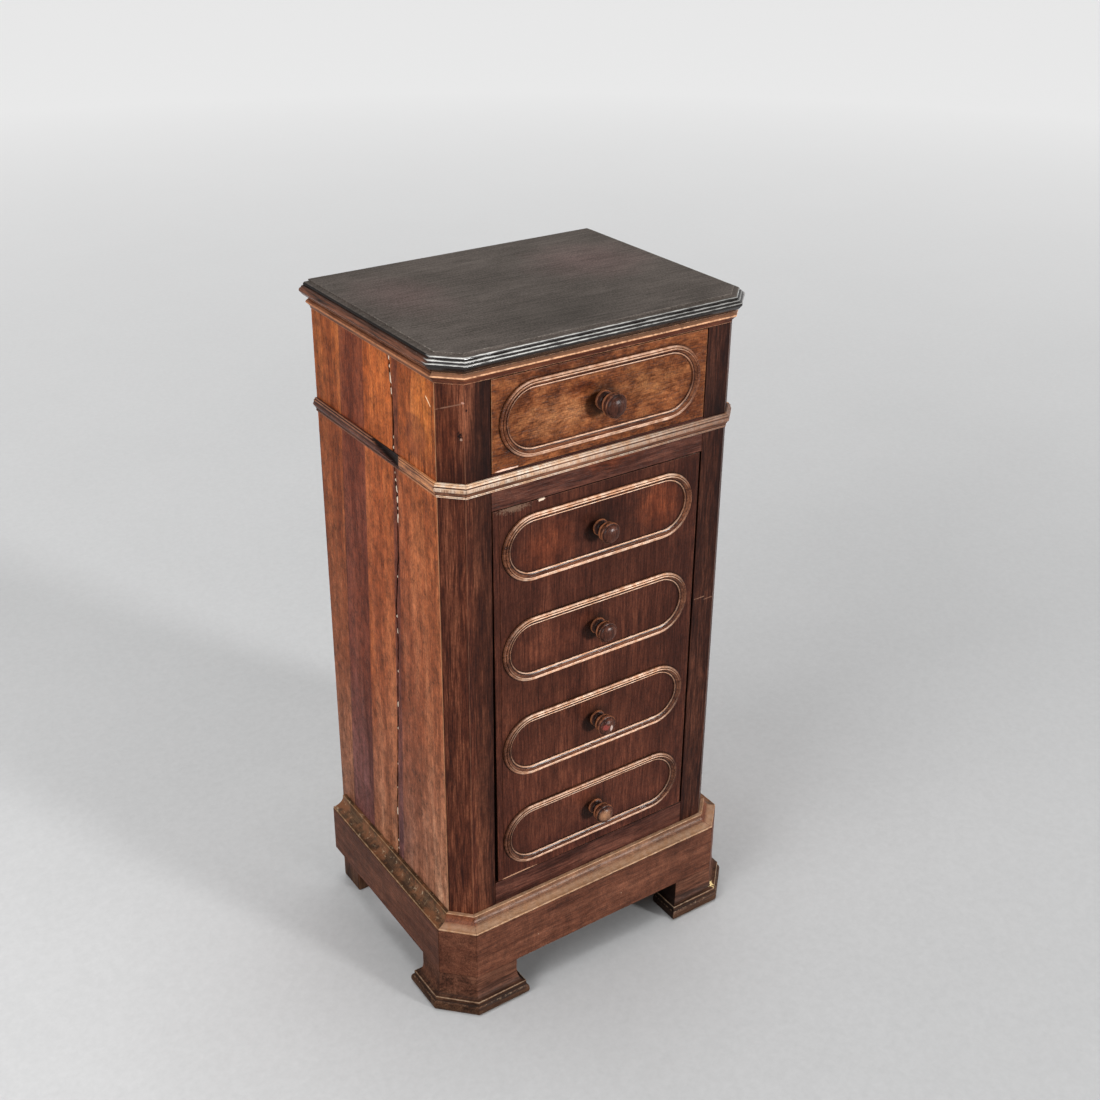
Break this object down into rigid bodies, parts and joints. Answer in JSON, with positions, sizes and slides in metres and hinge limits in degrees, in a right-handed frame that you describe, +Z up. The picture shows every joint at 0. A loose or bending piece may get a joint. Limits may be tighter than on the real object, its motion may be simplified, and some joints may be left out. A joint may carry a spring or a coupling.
{
  "type": "bedside cabinet",
  "caption": "Tall narrow walnut bedside cabinet with canted front corners, a drawer over a hinged door faced as a stack of drawers, dark moulded top, moulded plinth and bracket feet.",
  "frame": {"origin": "on the floor, at the middle of the whole cabinet's box", "axes": "+X to the viewer's right when facing the door, +Y from the front to the back, +Z up"},
  "size_m": [0.4302, 0.3181, 0.8],
  "materials": {
    "ebonised_wood": "black polish, worn brown at the arrises",
    "dark_walnut": "dark stained walnut, old wax polish",
    "side_walnut": "red-brown boards, upright grain, old polish with scratches",
    "front_walnut": "red-brown walnut, upright grain, satin polish",
    "figured_walnut": "figured walnut, satin polish",
    "plinth_walnut": "walnut, grain along the run, dull worn polish",
    "worn_moulding": "walnut rubbed pale, dull",
    "inner_wood": "bare secondary wood",
    "hinge_iron": "dull iron"
  },
  "bodies": {
    "carcass": {"corner_post_left": "dark_walnut", "corner_post_right": "dark_walnut", "side_panel_left": "side_walnut", "side_panel_right": "side_walnut", "back_board_left": "inner_wood", "back_board_right": "inner_wood", "bottom_board": "inner_wood", "dust_board": "inner_wood", "top_rail": "dark_walnut", "waist_rail": "front_walnut", "bottom_rail": "front_walnut", "top_back_rail": "inner_wood", "drawer_guide_left": "inner_wood", "drawer_guide_right": "inner_wood", "door_stop": "inner_wood", "top_board": "ebonised_wood", "under_moulding_front": "front_walnut", "under_moulding_left": "front_walnut", "under_moulding_right": "front_walnut", "waist_moulding_front": "front_walnut", "waist_moulding_cant_left": "front_walnut", "waist_moulding_cant_right": "front_walnut", "waist_moulding_left": "front_walnut", "waist_moulding_right": "front_walnut", "plinth_board_front": "plinth_walnut", "plinth_board_cant_left": "plinth_walnut", "plinth_board_cant_right": "plinth_walnut", "plinth_board_left": "plinth_walnut", "plinth_board_right": "plinth_walnut", "plinth_back_board": "inner_wood", "plinth_cove_front": "worn_moulding", "plinth_cove_cant_left": "worn_moulding", "plinth_cove_cant_right": "worn_moulding", "plinth_cove_left": "worn_moulding", "plinth_cove_right": "worn_moulding", "front_foot_left": "plinth_walnut", "front_foot_right": "plinth_walnut", "back_foot_left": "plinth_walnut", "back_foot_right": "plinth_walnut", "frame_pivot_top": "hinge_iron", "frame_pivot_bottom": "hinge_iron"},
    "drawer": {"drawer_front": "figured_walnut", "drawer_side_left": "inner_wood", "drawer_side_right": "inner_wood", "drawer_back": "inner_wood", "drawer_bottom": "inner_wood", "drawer_oval_moulding": "front_walnut", "drawer_knob": "dark_walnut"},
    "door": {"door_board": "front_walnut", "door_edge_strip": "front_walnut", "door_oval_moulding_1": "front_walnut", "door_oval_moulding_2": "front_walnut", "door_oval_moulding_3": "front_walnut", "door_oval_moulding_4": "front_walnut", "door_knob_1": "dark_walnut", "door_knob_2": "dark_walnut", "door_knob_3": "dark_walnut", "door_knob_4": "dark_walnut", "door_pivot_top": "hinge_iron", "door_pivot_bottom": "hinge_iron"}
  },
  "joints": [
    {"name": "drawer_slide", "type": "slide", "parent": "carcass", "child": "drawer", "axis": [0, -1, 0], "range_m": [0, 0.18]},
    {"name": "door_hinge", "type": "hinge", "parent": "carcass", "child": "door", "pos_m": [0.1257, -0.1249, 0.1545], "axis": [0, 0, 1], "range_deg": [0, 95]}
  ]
}
